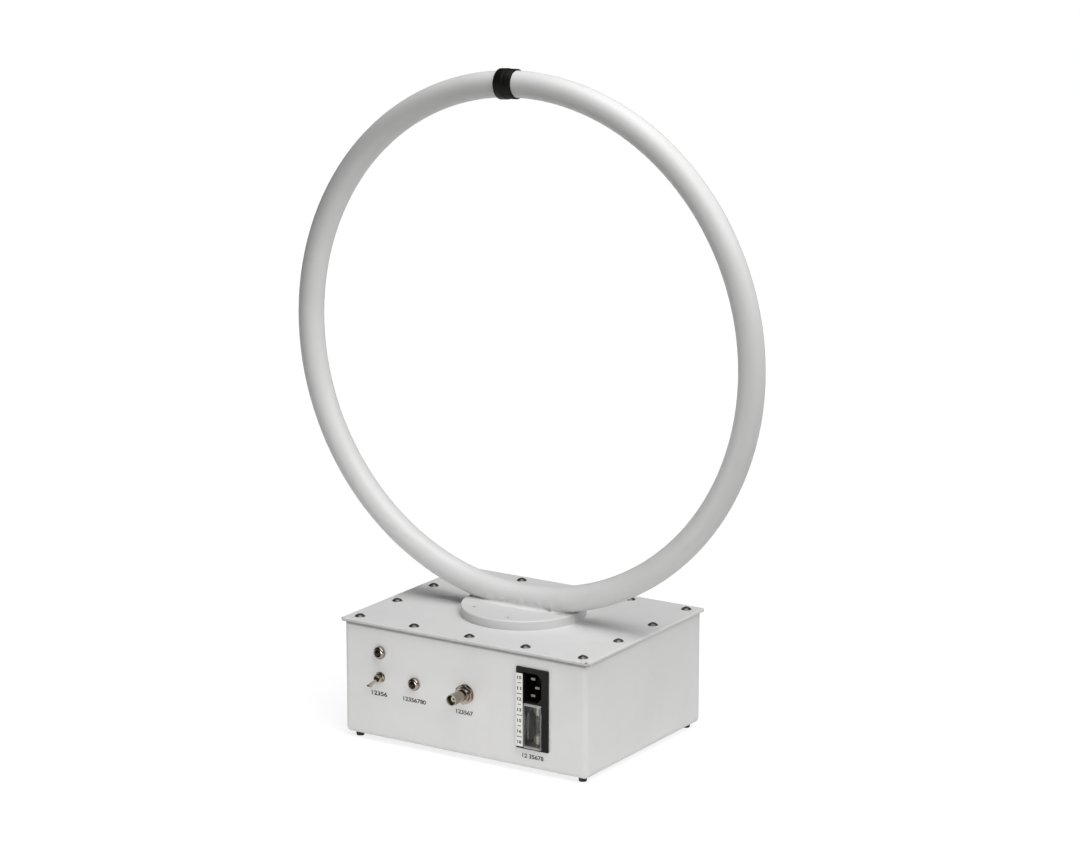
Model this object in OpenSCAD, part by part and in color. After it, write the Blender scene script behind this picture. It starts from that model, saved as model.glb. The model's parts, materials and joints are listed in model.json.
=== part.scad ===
// Radio loop antenna: a round shielded loop standing on a mains-powered amplifier box.
// Millimetres, X to the right, Y to the back, Z up, with the floor at zero.

/* [Box] */
// Width of the box across its front
body_w = 237; // [228:1:270]
// Depth of the box from front to back
body_d = 182; // [172:1:210]
// Height of the box without its lid and feet
body_h = 96; // [90:0.5:120]
// Radius of the upright corners and of the bottom edges
body_r = 4.5; // [4:0.5:8]
// Thickness of the folded sheet
sheet_t = 2; // [1.5:0.1:2.5]
// Width of the turned-in rim under the lid
rim_w = 19; // [16:0.5:22]
// Thickness of the lid
lid_t = 3; // [2:0.5:5]
// How far the lid stands out past the box
lid_over = 2.3; // [0:0.1:6]
// Radius of the lid's corners
lid_r = 3; // [1:0.5:6]
// Lid screws along the front
lid_cols = 5; // [3:1:6]
// Lid screws along a side
lid_rows = 4; // [3:1:5]
// Thread diameter of the lid and base screws
screw_d = 4; // [3:0.5:4.5]
// Height of a rubber foot
foot_h = 4; // [3:0.5:8]
// Diameter of a rubber foot
foot_d = 7.5; // [6:0.5:10]
// From the box's side to the centre of a foot
foot_inset = 9; // [9:0.5:20]
// Bore of the tripod thread under the box
tripod_d = 5.1; // [4:0.1:8]

/* [Loop] */
// Radius of the tube's centre line
loop_r = 214; // [150:1:300]
// Outside diameter of the loop tube
tube_d = 22; // [20:0.5:26]
// Wall of the loop tube
tube_wall = 1.5; // [1:0.1:2.5]
// Break in the tube at the top
gap_w = 8; // [5:0.5:12]
// Angle from the top of the loop to the break
gap_lean = 3.6; // [0:0.1:15]
// Length of the sleeve over the break
sleeve_len = 16.5; // [15:0.5:30]
// Wall of the sleeve over the break
sleeve_t = 1.8; // [1.2:0.1:3]
// Diameter of the round base under the loop
base_d = 105; // [96:1:120]
// Thickness of the round base
base_t = 8; // [7.5:0.5:12]
// How deep the tube sits in the base
seat_depth = 5.1; // [3:0.1:6]
// Screws in the round base
base_screws = 6; // [4:1:8]
// Circle through the base screws
base_circle = 84; // [80:1:88]
// Angle of the first base screw
base_turn = -135; // [-150:1:-120]
// Diameter of the wire inside the tube
core_d = 6; // [4:0.5:8]
// Spacers along the wire inside the tube
spacers = 8; // [4:1:12]

/* [Front] */
// From the box's left side to the column of the switch and the upper lamp
switch_in = 36.5; // [32:0.5:40]
// From that column to the second lamp
lamp_gap = 34.3; // [28:0.1:42]
// Distance of the output connector from the middle
output_x = 2; // [-6:0.5:6]
// From the box's right side to the middle of the mains inlet
inlet_in = 50.8; // [48:0.1:56]
// Height of the switch row below the lid's top face
row_drop = 46; // [44:0.5:50]
// Height of the upper lamp below the lid's top face
lamp_drop = 24.7; // [23:0.1:27]
// Height of the inlet's top edge below the lid's top face
inlet_drop = 13.5; // [12:0.5:16]

/* [Mains inlet] */
// Width of the inlet's face
inlet_w = 30.1; // [30:0.1:36]
// Height of the inlet's face
inlet_h = 68.3; // [68:0.1:74]
// How far the face stands in front of the panel
face_t = 2; // [2:0.1:3]
// Depth of the inlet behind the panel's face
inlet_depth = 22; // [20:0.5:30]
// Sideways shift of the door and the socket
door_x = 0.5; // [0:0.1:0.8]
// Width of the clear door
door_w = 19.2; // [19:0.1:19.6]
// Height of the clear door
door_h = 37; // [36:0.5:37]
// Thickness of the door's running plate
door_t = 1; // [0.8:0.1:1.1]
// Way that the door slides up
door_travel = 26.5; // [24:0.5:26.5]
// How far the window stands in front of the face
window_out = 1; // [0.5:0.1:2]
// Diameter of the fuse
fuse_d = 6.35; // [5:0.05:6.5]
// Length of the fuse
fuse_len = 31.8; // [28:0.1:32]
// Depth of the line filter behind the inlet
filter_depth = 23; // [15:1:26]

/* [Switch] */
// Diameter of the threaded bushing
bush_d = 6.35; // [6.3:0.05:7]
// How far the bushing stands in front of the panel
bush_out = 6; // [5.5:0.1:7]
// Height of the lever's pivot in front of the panel
pivot_out = 2.5; // [2.3:0.1:2.6]
// How far the lever's tip stands in front of the panel
lever_out = 19; // [14:0.5:24]
// Tilt of the lever each way
lever_tilt = 14; // [8:0.5:14]
// Tilt of the contact rocker each way
rocker_tilt = 10; // [6:0.5:10]
// Width across the flats of the switch nut
switch_af = 8; // [8:0.5:10]

/* [Lamps] */
// Outside diameter of a lamp's bezel
bezel_d = 10.8; // [10.4:0.1:13]
// Diameter of the light in a bezel
led_d = 6.4; // [4:0.1:6.4]

/* [Output] */
// How far the output connector stands in front of the panel
output_reach = 20.5; // [18:0.5:24]
// Diameter of the plug barrel
barrel_d = 9.7; // [9.6:0.1:10.2]
// Thread diameter of the connector in the panel
output_d = 12.4; // [12:0.1:13]
// Width across the flats of the connector's nut
output_af = 15; // [14.5:0.5:18]

/* [Inside] */
// Width of the amplifier board
board_w = 130; // [126:1:136]
// Depth of the amplifier board
board_d = 96; // [92:1:110]
// Height of the board's standoffs
standoff_h = 12; // [11:0.5:16]
// Diameter of an insulated lead
lead_d = 2.2; // [1.6:0.1:2.6]
// Stack of the transformer's laminations
stack_t = 19; // [16:0.5:22]

/* [Hidden] */
// Fineness of round shapes
$fn = 96;
// Gap between pieces that plug together
slack = 0.1;
// Extra length of a cut past a face
over = 1;
// Gap between a screw and the nut around it
thread_slack = 0.15;

// Heights of the stack
floor_z = foot_h + sheet_t;
body_top = foot_h + body_h;
lid_top = body_top + lid_t;
base_top = lid_top + base_t;
tube_r = tube_d / 2;
bore_r = tube_r - tube_wall;
loop_z = base_top - seat_depth + tube_r + loop_r;

// Lid and feet
lid_w = body_w + 2 * lid_over;
lid_d = body_d + 2 * lid_over;
lid_edge = min(0.4 * lid_t, 0.45 * lid_r);
foot_stem = foot_d / 2;
barb_d = foot_stem + 1.6;
barb_h = 3;

// Front panel
front_y = -body_d / 2;
switch_x = switch_in - body_w / 2;
lamp_x = switch_x + lamp_gap;
inlet_x = body_w / 2 - inlet_in;
row_z = lid_top - row_drop;
lamp_z = lid_top - lamp_drop;
inlet_z = lid_top - inlet_drop - inlet_h / 2;

// The origin stands midway between the connector's tip and the lid's back edge
shift_y = (output_reach - lid_over) / 2;

// Angles along the loop, counted from the right-hand side
gap_at = 90 + gap_lean;
gap_turn = gap_w / loop_r * 180 / PI;
sleeve_turn = sleeve_len / loop_r * 180 / PI;
spacer_len = 6;
spacer_turn = spacer_len / loop_r * 180 / PI;
lead_gap = 3.5;
lead_turn = asin(lead_gap / loop_r);
hole_r = lead_gap + lead_d / 2 + 2.4;

// Screws
nut_t = 0.75 * screw_d;
sink_h = 0.4 * screw_d;
screw_gap = 0.4;
bead_h = 2.6;
base_edge = 0.8;

// Inlet
block_w = inlet_w - 3.6;
block_h = inlet_h - 3.9;
lip_t = 0.6;
lip_w = 0.9;
door_z = face_t - lip_t - slack - door_t;
channel_low = -inlet_h / 2 + 0.9;
channel_h = door_h + door_travel + 4 * slack;
window_w = door_w - 2 * lip_w - slack;
socket_w = 16.6;
socket_h = 24.2;
socket_depth = 17;
socket_y = channel_low + door_h + 1.6 + socket_h / 2;
recess_w = 16;
recess_h = fuse_len + 2.2;
recess_y = channel_low + 1.7 + recess_h / 2;
recess_depth = 15;
fuse_x = door_x + 1.5;
fuse_z = -6;
cap_len = 7;
clip_w = 5;
clip_t = 0.6;
pin_gap = 7;
pin_back = 2.5;
blade_w = 4;
blade_t = 2;
catch_len = 20;
catch_out = 1.8;
catch_deep = 7;
label_t = 0.3;
card_t = 1;
card_h = 20;
arm_h = 22;
arm_t = 1.5;
window_wall = 1.2;

// Switch
flange_t = 0.5;
case_top = -sheet_t - flange_t;
case_depth = 11;
case_w = 13;
case_wall = 2;
washer_t = 0.6;
ball_r = 2;
neck_r = 1.25;
tip_r = 1.9;
tail_r = 1;
tail_len = 11.8;
pivot_d = 1;
rocker_z = pivot_out - tail_len - 0.35;
rocker_len = 7.6;
lug_len = 4;

// Lamps
lamp_len = 7;
led_rise = 1.9;
bezel_h = 4;
bezel_round = 2.4;

// Output connector
thread_out = 6.5;
output_deep = 8;
mouth_d = 8.2;
core_bore = 6.8;
contact_d = 2.1;
bayonet_d = 2;
output_wire = 6;

// Inside
board_in = 50;
board_x = switch_x + board_in;
board_y = 8;
board_z = floor_z + standoff_h;
board_t = 1.6;
board_top = board_z + board_t;
standoff_in = 5;
standoff_af = 5.5;
stud_d = 3;
board_screw_d = 2.7;
board_screw_len = 6;
terminal_w = 16;
terminal_d = 10;
terminal_h = 9;
can_w = 42;
can_d = 34;
can_h = 14;
can_t = 0.5;
can_gap = 7;
can_x = -terminal_w / 2 - can_gap - can_w / 2;
chip_w = 16;
chip_d = 8;
chip_h = 4;
chip_gap = 22;
chip_side = 8;
chip_x = can_x - can_w / 2 - chip_side - chip_w;
cap_d = 10;
cap_h = 16;
cap_gap = 13;
cap_in = 12;
core_w = 54;
core_h = 45;
leg_w = 18;
window_side = 9;
window_high = 27;
coil_out = 18;
mains_in = 14.3;
mains_x = inlet_x + mains_in;
mains_y = 20;
strap_t = 1.5;
strap_foot = 13;
strap_reach = 7.5;
strap_screw = core_w / 2 + strap_reach;
tab_len = 6;
tab_w = 4.8;
tab_t = 0.8;
coax_d = 3.2;
tab_y = front_y + inlet_depth + filter_depth + tab_len;

// Places
module placed() {
  translate([0, shift_y, 0]) children();
}

// On the front panel: X to the right, Y up, Z out of the panel
module on_panel(x, z) {
  translate([x, front_y, z]) rotate([90, 0, 0]) children();
}

// Along the loop, from an angle and over a sweep
module on_ring(start, sweep) {
  translate([0, 0, loop_z])
    rotate([90, 0, 0])
      rotate([0, 0, start])
        rotate_extrude(angle = sweep)
          translate([loop_r, 0])
            children();
}

module at_lid_screws() {
  pitch_x = (body_w - rim_w) / (lid_cols - 1);
  pitch_y = (body_d - rim_w) / (lid_rows - 1);
  for (i = [0 : lid_cols - 1], j = [0 : lid_rows - 1])
    if (i == 0 || j == 0 || i == lid_cols - 1 || j == lid_rows - 1)
      translate([i * pitch_x - (body_w - rim_w) / 2, j * pitch_y - (body_d - rim_w) / 2, 0])
        children();
}

module at_feet() {
  for (sx = [-1, 1], sy = [-1, 1])
    translate([sx * (body_w / 2 - foot_inset), sy * (body_d / 2 - foot_inset), 0])
      children();
}

module at_base_screws() {
  for (i = [0 : base_screws - 1])
    rotate([0, 0, base_turn + i * 360 / base_screws])
      translate([base_circle / 2, 0, 0])
        children();
}

module at_standoffs() {
  for (sx = [-1, 1], sy = [-1, 1])
    translate([board_x + sx * (board_w / 2 - standoff_in), board_y + sy * (board_d / 2 - standoff_in), 0])
      children();
}

module at_strap_screws() {
  for (s = [-1, 1])
    translate([mains_x, mains_y + s * strap_screw, 0])
      children();
}

module at_lamps() {
  on_panel(switch_x, lamp_z) children();
  on_panel(lamp_x, row_z) children();
}

// Shapes used more than once
module rounded_rect(w, d, r) {
  square([w, d - 2 * r], center = true);
  square([w - 2 * r, d], center = true);
  for (a = [0 : 90 : 270])
    rotate(a)
      translate([(a % 180 == 0 ? w : d) / 2 - r, (a % 180 == 0 ? d : w) / 2 - r])
        intersection() {
          circle(r = r);
          square(r + over);
        }
}

// Hexagon with its outer corners turned off at thirty degrees
module hex_nut(d, af, t) {
  turned_r = 0.48 * af;
  difference() {
    intersection() {
      cylinder(r = af / sqrt(3), h = t, $fn = 6);
      translate([0, 0, -over])
        cylinder(
          r1 = turned_r + (t + over) * sqrt(3),
          r2 = turned_r - over / 2 * sqrt(3),
          h = t + 1.5 * over);
    }
    translate([0, 0, -over]) cylinder(d = d, h = t + 2 * over);
  }
}

// A section run round a rounded rectangle, from the centres of its corners outwards
module run_round(w, d, r) {
  for (a = [0 : 90 : 270]) {
    reach = (a % 180 == 0 ? w : d) / 2 - r;
    run = (a % 180 == 0 ? d : w) - 2 * r;
    rotate([0, 0, a])
      translate([reach, run / 2, 0]) {
        rotate([90, 0, 0]) linear_extrude(run) children();
        rotate_extrude(angle = 90) children();
      }
  }
}

// Domed head above zero with a cross recess, shank below it
module domed_screw(d, len) {
  high = 0.52 * d;
  wide = 1.1 * d;
  ball = (wide * wide + high * high) / (2 * high);
  difference() {
    union() {
      rotate_extrude()
        intersection() {
          translate([0, high - ball]) circle(r = ball);
          square([wide + over, high + over]);
        }
      translate([0, 0, -len]) cylinder(d = d - 2 * thread_slack, h = len + high / 4);
    }
    for (a = [0, 90])
      rotate([0, 0, a])
        translate([0, 0, high])
          cube([d, d / 5, high], center = true);
  }
}

// Flush head below zero with a hex recess, shank below it
module flush_screw(d, len) {
  difference() {
    union() {
      translate([0, 0, -sink_h]) cylinder(d1 = d, d2 = 2 * d - 0.8, h = sink_h);
      translate([0, 0, -len]) cylinder(d = d - 2 * thread_slack, h = len - sink_h / 2);
    }
    translate([0, 0, -0.3 * d]) cylinder(d = 0.6 * d, h = d, $fn = 6);
  }
}

// Round lead along a path of points, with a bend at each corner
module lead(path, d, bend) {
  last = len(path) - 1;
  for (i = [0 : last - 1]) {
    way = path[i + 1] - path[i];
    ahead = way / norm(way);
    cut_a = i > 0 ? bend : 0;
    cut_b = i < last - 1 ? bend : 0;
    side = abs(ahead[2]) > 0.5 ? [1, 0, 0] : [0, 0, 1];
    across = cross(side, ahead);
    start = path[i] + ahead * cut_a;
    multmatrix([
      [side[0], across[0], ahead[0], start[0]],
      [side[1], across[1], ahead[1], start[1]],
      [side[2], across[2], ahead[2], start[2]],
      [0, 0, 0, 1]])
      cylinder(d = d, h = norm(way) - cut_a - cut_b);
  }
  if (last > 1)
    for (i = [1 : last - 1]) {
      in_way = (path[i] - path[i - 1]) / norm(path[i] - path[i - 1]);
      out_way = (path[i + 1] - path[i]) / norm(path[i + 1] - path[i]);
      middle = path[i] - in_way * bend + out_way * bend;
      axis = cross(-out_way, in_way);
      multmatrix([
        [-out_way[0], in_way[0], axis[0], middle[0]],
        [-out_way[1], in_way[1], axis[1], middle[1]],
        [-out_way[2], in_way[2], axis[2], middle[2]],
        [0, 0, 0, 1]])
        rotate_extrude(angle = 90)
          translate([bend, 0])
            circle(d = d);
    }
}

// Box
module wall_section() {
  translate([0, body_r])
    intersection() {
      difference() {
        circle(r = body_r);
        circle(r = body_r - sheet_t);
      }
      translate([0, -body_r - over]) square(body_r + over);
    }
  translate([body_r - sheet_t, body_r]) square([sheet_t, body_h - sheet_t - body_r]);
}

module box_shell() {
  color("#d9dadb")
  difference() {
    union() {
      translate([0, 0, foot_h]) run_round(body_w, body_d, body_r) wall_section();
      translate([body_r - body_w / 2, body_r - body_d / 2, foot_h])
        cube([body_w - 2 * body_r, body_d - 2 * body_r, sheet_t]);
      translate([0, 0, body_top - sheet_t])
        linear_extrude(sheet_t)
          difference() {
            rounded_rect(body_w, body_d, body_r);
            square([body_w - 2 * rim_w, body_d - 2 * rim_w], center = true);
          }
    }
    translate([0, 0, body_top - sheet_t - over])
      at_lid_screws() cylinder(d = screw_d + screw_gap, h = sheet_t + 2 * over);
    translate([0, 0, foot_h - over]) {
      at_feet() cylinder(d = foot_stem + 2 * slack, h = sheet_t + 2 * over);
      at_standoffs() cylinder(d = stud_d + 2 * slack, h = sheet_t + 2 * over);
      at_strap_screws() cylinder(d = screw_d, h = sheet_t + 2 * over);
      cylinder(d = tripod_d + 5 + 2 * slack, h = sheet_t + 2 * over);
    }
    at_lamps()
      translate([0, 0, -sheet_t - over])
        cylinder(d = bezel_d - 2.8, h = sheet_t + 2 * over);
    on_panel(switch_x, row_z)
      translate([0, 0, -sheet_t - over])
        cylinder(d = bush_d + 2 * slack, h = sheet_t + 2 * over);
    on_panel(output_x, row_z)
      translate([0, 0, -sheet_t - over])
        cylinder(d = output_d + 2 * slack, h = sheet_t + 2 * over);
    on_panel(inlet_x, inlet_z)
      cube([block_w + 4 * slack, block_h + 4 * slack, 2 * sheet_t + 2 * over], center = true);
  }
}

module lid_section() {
  square([lid_r - lid_edge, lid_t]);
  translate([lid_r - lid_edge, lid_edge]) square([lid_edge, lid_t - 2 * lid_edge]);
  for (m = [0, 1])
    translate([lid_r - lid_edge, lid_t / 2])
      mirror([0, m])
        translate([0, lid_t / 2 - lid_edge])
          intersection() {
            circle(r = lid_edge);
            square(lid_edge + over);
          }
}

module box_lid() {
  color("#dcddde")
  translate([0, 0, body_top])
  difference() {
    union() {
      run_round(lid_w, lid_d, lid_r) lid_section();
      translate([lid_r - lid_w / 2, lid_r - lid_d / 2, 0])
        cube([lid_w - 2 * lid_r, lid_d - 2 * lid_r, lid_t]);
    }
    translate([0, 0, -over]) {
      at_lid_screws() cylinder(d = screw_d + screw_gap, h = lid_t + 2 * over);
      at_base_screws() cylinder(d = screw_d + screw_gap, h = lid_t + 2 * over);
      cylinder(r = hole_r + slack, h = lid_t + 2 * over);
    }
  }
}

module lid_screws() {
  color("#6f7174")
  translate([0, 0, lid_top])
    at_lid_screws()
      domed_screw(screw_d, lid_t + sheet_t + nut_t + 1);
}

module lid_nuts() {
  color("#b9b9b4")
  translate([0, 0, body_top - sheet_t - nut_t])
    at_lid_screws()
      difference() {
        cylinder(r = screw_d, h = nut_t);
        translate([0, 0, -over]) cylinder(d = screw_d, h = nut_t + 2 * over);
      }
}

// Pushed in from below: a pad, a stem through the floor and a barb above it
module rubber_feet() {
  color("#1d1d1e")
  at_feet()
    union() {
      cylinder(d1 = foot_d - 1, d2 = foot_d, h = foot_h);
      cylinder(d = foot_stem, h = floor_z + barb_h / 2);
      translate([0, 0, floor_z]) cylinder(d1 = barb_d, d2 = foot_stem - 1, h = barb_h);
    }
}

module tripod_bush() {
  color("#a9aaa8")
  difference() {
    union() {
      translate([0, 0, foot_h]) cylinder(d = tripod_d + 5, h = sheet_t + 1);
      translate([0, 0, floor_z]) cylinder(d = tripod_d + 10, h = 8);
    }
    translate([0, 0, foot_h - over]) cylinder(d = tripod_d, h = sheet_t + 8 + 2 * over);
  }
}

// Loop
module loop_base() {
  color("#dcddde")
  difference() {
    translate([0, 0, lid_top]) {
      cylinder(d = base_d, h = base_t - base_edge);
      translate([0, 0, base_t - base_edge]) cylinder(d1 = base_d, d2 = base_d - 2 * base_edge, h = base_edge);
    }
    on_ring(0, 360) circle(r = tube_r + slack);
    translate([0, 0, lid_top - over]) cylinder(r = hole_r + slack, h = base_t + 2 * over);
    translate([0, 0, lid_top - over])
      at_base_screws() cylinder(d = screw_d + screw_gap, h = base_t + 2 * over);
    translate([0, 0, base_top - sink_h - slack])
      at_base_screws()
        cylinder(d1 = screw_d + 2 * slack, d2 = 2 * screw_d - 0.8 + 4 * slack, h = sink_h + slack);
  }
}

module base_screws() {
  color("#d2d3d4")
  translate([0, 0, base_top - slack])
    at_base_screws()
      flush_screw(screw_d, base_t + lid_t + nut_t + 1 - slack);
}

module base_nuts() {
  color("#b9b9b4")
  translate([0, 0, body_top - nut_t])
    at_base_screws()
      hex_nut(screw_d, 1.75 * screw_d, nut_t);
}

module loop_tube() {
  color("#d6d7d8")
  difference() {
    on_ring(gap_at + gap_turn / 2, 360 - gap_turn)
      difference() {
        circle(r = tube_r);
        circle(r = bore_r);
      }
    translate([0, 0, loop_z - loop_r - tube_r - over])
      cylinder(r = hole_r - 0.4, h = tube_r);
  }
}

module gap_insulator() {
  color("#151516")
  union() {
    on_ring(gap_at - sleeve_turn / 2, sleeve_turn)
      difference() {
        circle(r = tube_r + sleeve_t);
        circle(r = tube_r + slack);
      }
    on_ring(gap_at - gap_turn * 0.49, gap_turn * 0.98)
      difference() {
        circle(r = tube_r + sleeve_t / 2);
        circle(r = bore_r - 1);
      }
  }
}

module loop_winding() {
  color("#7a3b22")
  union() {
    on_ring(-90 + lead_turn, 360 - 2 * lead_turn) circle(d = core_d);
    for (s = [-1, 1])
      translate([s * (lead_gap + lead_d / 4), 0, board_top + terminal_h])
        cylinder(d = lead_d, h = loop_z - loop_r - board_top - terminal_h);
  }
}

module winding_spacers() {
  color("#e8e6dc")
  for (i = [0 : spacers - 1])
    on_ring((i + 0.5) * 360 / spacers - spacer_turn / 2, spacer_turn)
      difference() {
        circle(r = bore_r - 2 * slack);
        circle(d = core_d + 2 * slack);
      }
}

module seat_bead() {
  color("#e2e3e3")
  difference() {
    intersection() {
      on_ring(0, 360) circle(r = tube_r + bead_h);
      translate([0, 0, base_top]) cylinder(r = base_circle / 2 - screw_d - 2, h = bead_h);
    }
    on_ring(0, 360) circle(r = tube_r);
  }
}

module lead_bush() {
  color("#e8e6dc")
  difference() {
    union() {
      translate([0, 0, body_top - 1]) cylinder(r = hole_r - 0.2, h = base_top - seat_depth - body_top + 0.8);
      translate([0, 0, body_top - 2]) cylinder(r = hole_r + 2, h = 2);
    }
    translate([0, 0, body_top - 2 - over]) cylinder(r = hole_r - 1.6, h = lid_t + base_t + 4);
  }
}

// Amplifier inside the box
module amplifier_board() {
  color("#2f6b3f")
  difference() {
    translate([board_x - board_w / 2, board_y - board_d / 2, board_z])
      cube([board_w, board_d, board_t]);
    translate([0, 0, board_z - over])
      at_standoffs() cylinder(d = board_screw_d + 0.5, h = board_t + 2 * over);
  }
}

module board_standoffs() {
  color("#c9b36a")
  at_standoffs()
    difference() {
      union() {
        translate([0, 0, floor_z]) cylinder(r = standoff_af / sqrt(3), h = standoff_h, $fn = 6);
        translate([0, 0, foot_h]) cylinder(d = stud_d, h = sheet_t + 1);
      }
      translate([0, 0, board_z - board_screw_len - 1])
        cylinder(d = board_screw_d - slack, h = board_screw_len + 1 + over);
    }
}

module board_screws() {
  color("#b9b9b4")
  translate([0, 0, board_top])
    at_standoffs()
      domed_screw(board_screw_d, board_screw_len);
}

module input_terminal() {
  color("#2d5f97")
  translate([-terminal_w / 2, -terminal_d / 2, board_top]) cube([terminal_w, terminal_d, terminal_h]);
}

module shield_can() {
  color("#c4c6c6")
  translate([can_x, board_y, board_top])
    difference() {
      translate([-can_w / 2, -can_d / 2, 0]) cube([can_w, can_d, can_h]);
      translate([can_t - can_w / 2, can_t - can_d / 2, -over])
        cube([can_w - 2 * can_t, can_d - 2 * can_t, can_h - can_t + over]);
    }
}

module board_chips() {
  color("#232324")
  for (i = [-1 : 1])
    translate([chip_x, board_y + i * chip_gap - chip_d / 2, board_top])
      cube([chip_w, chip_d, chip_h]);
}

module board_capacitors() {
  color("#3a4a7c")
  for (i = [0 : 3])
    translate([board_x + board_w / 2 - cap_in - cap_gap * i, board_y + board_d / 2 - cap_h, board_top])
      cylinder(d = cap_d, h = cap_h);
}

module transformer_core() {
  color("#5b5d60")
  translate([mains_x - stack_t / 2, mains_y, floor_z])
    rotate([90, 0, 90])
      linear_extrude(stack_t)
        difference() {
          translate([-core_w / 2, 0]) square([core_w, core_h]);
          for (s = [-1, 1])
            translate([s * (leg_w + window_side) / 2, core_h / 2])
              square([window_side, window_high], center = true);
        }
}

module transformer_coil() {
  color("#a8762f")
  translate([mains_x, mains_y, floor_z + core_h / 2])
    difference() {
      cube([2 * coil_out, leg_w + 2 * window_side - 2 * slack, window_high - 2 * slack], center = true);
      cube([stack_t + 2 * slack, leg_w + 2 * slack, window_high + over], center = true);
    }
}

module transformer_strap() {
  color("#b4b6b8")
  translate([mains_x - stack_t / 2 + 2, mains_y, floor_z])
    difference() {
      rotate([90, 0, 90])
        linear_extrude(stack_t - 4)
          difference() {
            union() {
              translate([-core_w / 2 - strap_t, 0]) square([core_w + 2 * strap_t, core_h + strap_t]);
              translate([-core_w / 2 - strap_foot, 0]) square([core_w + 2 * strap_foot, strap_t]);
            }
            translate([-core_w / 2, -over]) square([core_w, core_h + over]);
          }
      for (s = [-1, 1])
        translate([stack_t / 2 - 2, s * strap_screw, -over])
          cylinder(d = screw_d + screw_gap, h = strap_t + 2 * over);
    }
}

module transformer_screws() {
  color("#b9b9b4")
  translate([0, 0, floor_z + strap_t])
    at_strap_screws()
      domed_screw(screw_d, sheet_t + strap_t);
}

// Mains inlet
module socket_outline() {
  half_w = socket_w / 2;
  half_h = socket_h / 2;
  polygon([[-half_w, -half_h], [half_w - 5, -half_h], [half_w, 5 - half_h], [half_w, half_h - 5],
    [half_w - 5, half_h], [-half_w, half_h]]);
}

module inlet_housing() {
  color("#1a1a1b")
  on_panel(inlet_x, inlet_z)
  difference() {
    union() {
      translate([-inlet_w / 2, -inlet_h / 2, 0]) cube([inlet_w, inlet_h, face_t]);
      translate([-block_w / 2, -block_h / 2, -inlet_depth])
        cube([block_w, block_h, inlet_depth + face_t / 2]);
    }
    translate([door_x - door_w / 2 - slack, channel_low, door_z - slack])
      cube([door_w + 2 * slack, channel_h, door_t + 2 * slack]);
    translate([door_x - window_w / 2 - slack, channel_low, door_z])
      cube([window_w + 2 * slack, channel_h, face_t + over]);
    translate([door_x, socket_y, door_z - slack - socket_depth])
      linear_extrude(socket_depth + face_t) socket_outline();
    translate([door_x - recess_w / 2, recess_y - recess_h / 2, -recess_depth])
      cube([recess_w, recess_h, recess_depth + face_t]);
    at_pins(slack);
  }
}

// Line, neutral and earth blades, with a margin for their slots
module at_pins(margin) {
  for (p = [[-2, pin_gap], [-2, -pin_gap], [2, 0]])
    translate([door_x + p[0], socket_y + p[1], -inlet_depth - 10 * margin])
      translate([-blade_w / 2 - margin, -blade_t / 2 - margin, 0])
        cube([blade_w + 2 * margin, blade_t + 2 * margin, inlet_depth - pin_back + 10 * margin]);
}

module inlet_pins() {
  color("#c9c7bd")
  on_panel(inlet_x, inlet_z) at_pins(0);
}

module inlet_clips() {
  color("#b9b9b4")
  on_panel(inlet_x, inlet_z)
    for (s = [0, 180])
      rotate([0, 0, s])
        translate([block_w / 2, catch_len / 2, -sheet_t])
          rotate([90, 0, 0])
            linear_extrude(catch_len)
              polygon([[0, 0], [catch_out, 0], [0, -catch_deep]]);
}

module filter_can() {
  color("#b9bbbd")
  on_panel(inlet_x, inlet_z)
    translate([-block_w / 2, -block_h / 2, -inlet_depth - filter_depth])
      cube([block_w, block_h, filter_depth]);
}

module filter_tabs() {
  color("#c9c7bd")
  on_panel(inlet_x, inlet_z)
    for (p = [[-8, -10], [0, 10], [8, 0]])
      translate([p[0] - tab_w / 2, p[1] - tab_t / 2, -inlet_depth - filter_depth - tab_len])
        cube([tab_w, tab_t, tab_len]);
}

module fuse_door() {
  color([0.8, 0.85, 0.88, 0.5])
  on_panel(inlet_x, inlet_z)
    translate([door_x, channel_low + slack + door_h / 2, 0])
      difference() {
        union() {
          translate([-door_w / 2, -door_h / 2, door_z]) cube([door_w, door_h, door_t]);
          translate([0, 0, door_z])
            linear_extrude(face_t + window_out - door_z)
              rounded_rect(window_w, door_h - 0.4, 2);
        }
        translate([0, 0, door_z - over])
          linear_extrude(face_t + window_out - door_z - window_wall + over)
            rounded_rect(window_w - 2 * window_wall, door_h - 0.4 - 2 * window_wall, 1);
      }
}

module fuse_glass() {
  color([0.85, 0.9, 0.9, 0.5])
  on_panel(inlet_x, inlet_z)
    translate([fuse_x, recess_y, fuse_z])
      rotate([90, 0, 0])
        difference() {
          cylinder(d = fuse_d - 1, h = fuse_len - 2 * cap_len, center = true);
          cylinder(d = fuse_d - 2.4, h = fuse_len, center = true);
        }
}

module fuse_caps() {
  color("#c9c7bd")
  on_panel(inlet_x, inlet_z)
    for (s = [-1, 1])
      translate([fuse_x, recess_y + s * (fuse_len - cap_len) / 2, fuse_z])
        rotate([90, 0, 0])
          cylinder(d = fuse_d, h = cap_len, center = true);
}

module fuse_clips() {
  color("#bfa55c")
  on_panel(inlet_x, inlet_z)
    for (s = [-1, 1])
      translate([fuse_x, recess_y + s * (fuse_len - cap_len) / 2, 0])
        rotate([90, 0, 0])
          linear_extrude(clip_w, center = true) {
            translate([-fuse_d / 2 - slack - clip_t, -recess_depth])
              square([fuse_d + 2 * slack + 2 * clip_t, clip_t + slack]);
            for (m = [0, 1])
              mirror([m, 0])
                translate([fuse_d / 2 + slack, -recess_depth])
                  square([clip_t, recess_depth + fuse_z + fuse_d / 4]);
          }
}

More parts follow.
